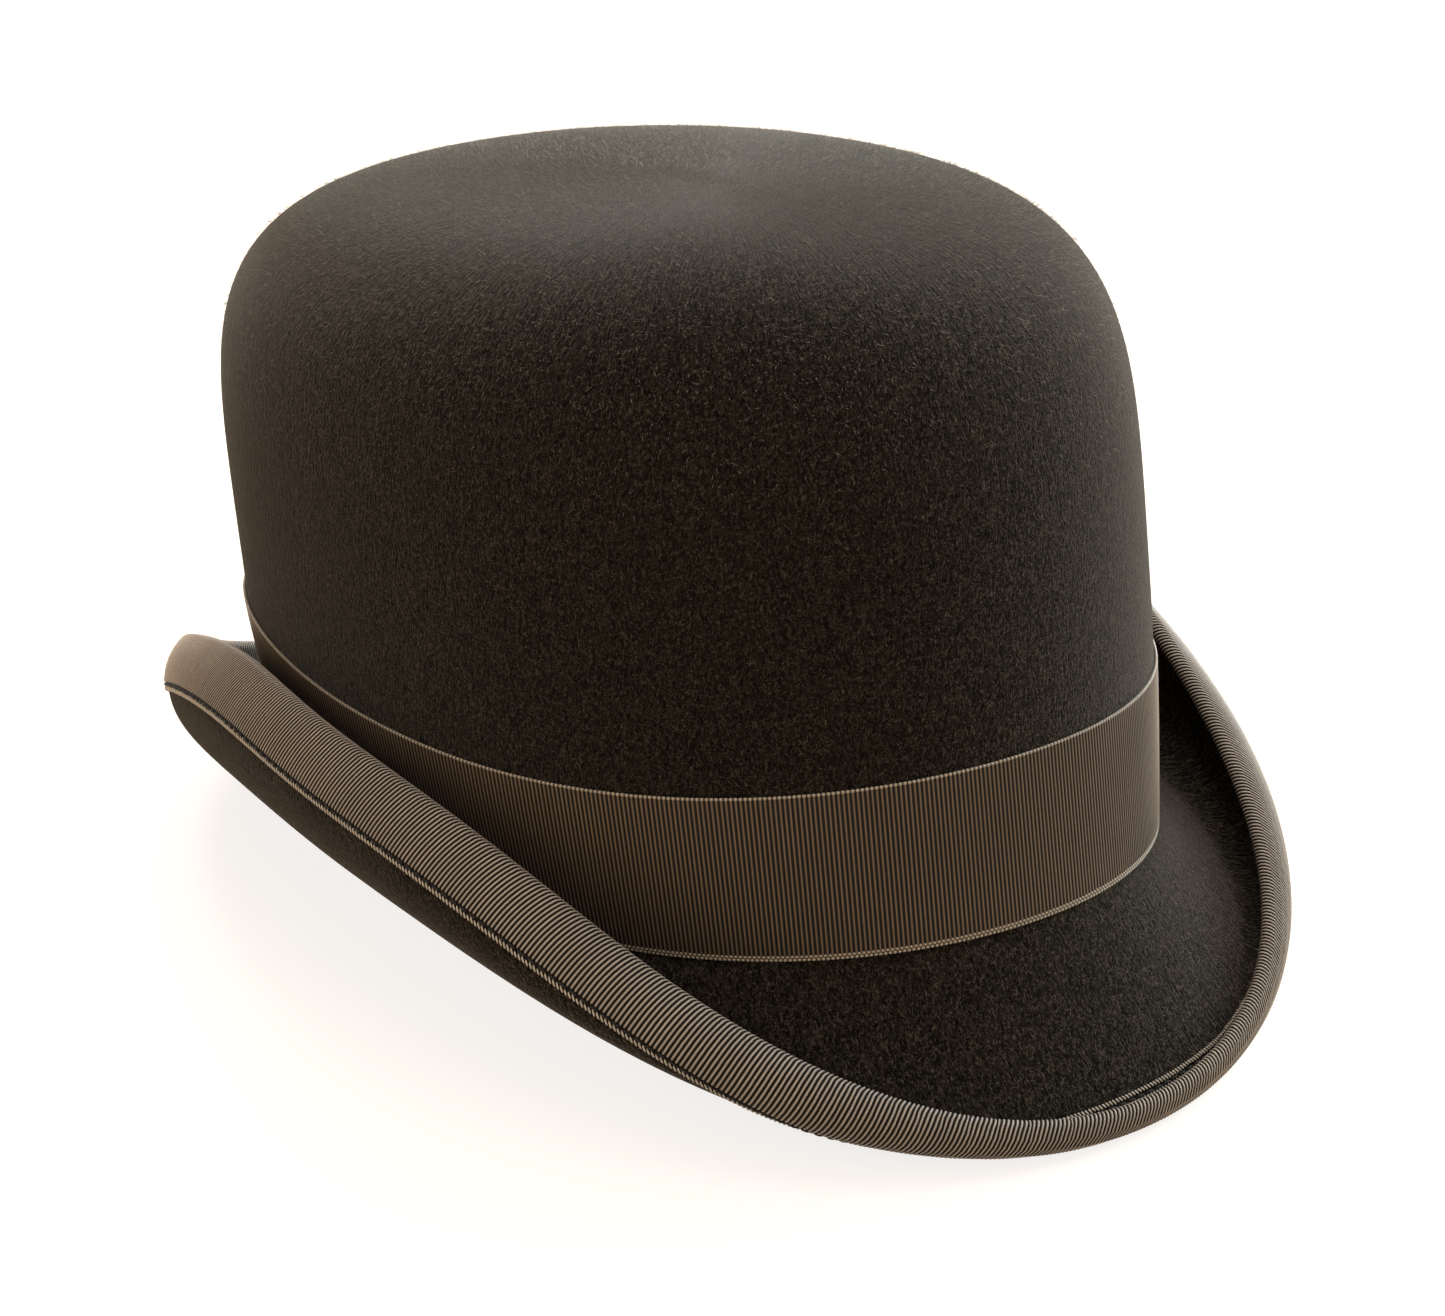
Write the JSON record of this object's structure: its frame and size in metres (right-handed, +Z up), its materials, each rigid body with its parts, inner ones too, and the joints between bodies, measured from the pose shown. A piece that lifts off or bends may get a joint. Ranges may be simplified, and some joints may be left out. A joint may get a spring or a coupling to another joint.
{
  "type": "bowler hat",
  "caption": "Hard felt bowler hat with a rounded crown, a curled and ribbon-bound brim, a ribbon band with a flat side bow, a leather sweatband and a satin lining.",
  "frame": {"origin": "centre of the bounding box's base, on the surface that the front and the back of the brim rest on", "axes": "+Z up through the crown, -Y over the front of the hat, +X to the wearer's left, where the bow is"},
  "size_m": [0.2176, 0.287, 0.1652],
  "materials": {
    "felt": "brushed hard felt",
    "grosgrain": "ribbed ribbon",
    "thread": "sewing thread",
    "leather": "smooth",
    "reed": "satin",
    "tape": "woven tape",
    "satin": "satin",
    "piping": "covered cord",
    "lace": "sewing thread",
    "back_ribbon": "satin ribbon"
  },
  "bodies": {
    "root": {"felt_body": "felt", "hat_band": "grosgrain", "brim_binding": "grosgrain", "binding_stitches_outer": "thread", "binding_stitches_inner": "thread", "bow_ribbon": "grosgrain", "bow_knot": "grosgrain", "sweatband": "leather", "sweatband_reed": "reed", "reed_tape": "tape", "sweatband_stitches": "lace", "back_lacing": "lace", "back_bow_ribbon": "back_ribbon", "back_bow_knot": "back_ribbon", "lining_side": "satin", "lining_piping": "piping", "lining_tip": "satin"}
  },
  "joints": []
}
